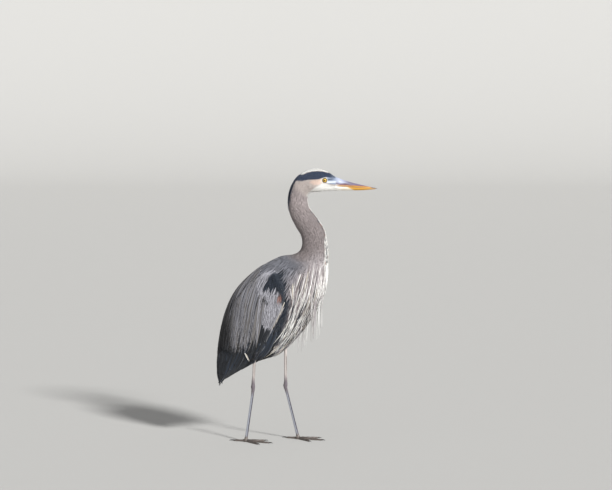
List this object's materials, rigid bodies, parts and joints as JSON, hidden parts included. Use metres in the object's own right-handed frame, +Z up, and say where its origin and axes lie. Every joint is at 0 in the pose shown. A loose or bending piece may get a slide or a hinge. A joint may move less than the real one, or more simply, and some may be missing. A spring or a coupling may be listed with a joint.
{
  "type": "great blue heron",
  "caption": "Life-size great blue heron model, standing at ease with its neck in a relaxed S, wings folded and one foot ahead of the other.",
  "frame": {"origin": "middle of the bounding box's underside, on the floor between the feet", "axes": "+Z up, +X the way the bill points, -Y the bird's right side"},
  "size_m": [0.5506, 0.1822, 0.9391],
  "materials": {
    "slate_feathers": "blue-grey contour and covert feathers, soft sheen",
    "neck_feathers": "mauve-grey neck feathers, white and black streaks down the front",
    "dark_feathers": "near-black quills, belly and crest feathers",
    "head_feathers": "short white and grey face feathers with a black band",
    "eye": "glossy yellow iris with a black pupil",
    "bill_upper": "grey horn, satin, orange-brown along its cutting edge",
    "bill_lower": "orange-yellow horn, satin, cream at its base",
    "legs": "scaly grey leg skin",
    "claws": "dark horn"
  },
  "bodies": {
    "root": {"tail": "dark_feathers", "rump": "dark_feathers", "trunk": "slate_feathers", "neck_lower": "neck_feathers", "neck_middle": "neck_feathers", "neck_upper": "neck_feathers", "breast": "neck_feathers", "head": "head_feathers", "eye_right": "eye", "eye_left": "eye", "crest": "dark_feathers", "bill_upper": "bill_upper", "bill_lower": "bill_lower", "thigh_right": "dark_feathers", "shank_right": "legs", "ankle_right": "legs", "tarsus_right": "legs", "foot_right": "legs", "toe_middle_right": "legs", "claw_middle_right": "claws", "toe_outer_right": "legs", "claw_outer_right": "claws", "toe_inner_right": "legs", "claw_inner_right": "claws", "toe_hind_right": "legs", "claw_hind_right": "claws", "thigh_left": "dark_feathers", "shank_left": "legs", "ankle_left": "legs", "tarsus_left": "legs", "foot_left": "legs", "toe_middle_left": "legs", "claw_middle_left": "claws", "toe_outer_left": "legs", "claw_outer_left": "claws", "toe_inner_left": "legs", "claw_inner_left": "claws", "toe_hind_left": "legs", "claw_hind_left": "claws", "wing_right": "slate_feathers", "quills_right": "dark_feathers", "wing_left": "slate_feathers", "quills_left": "dark_feathers"}
  },
  "joints": []
}
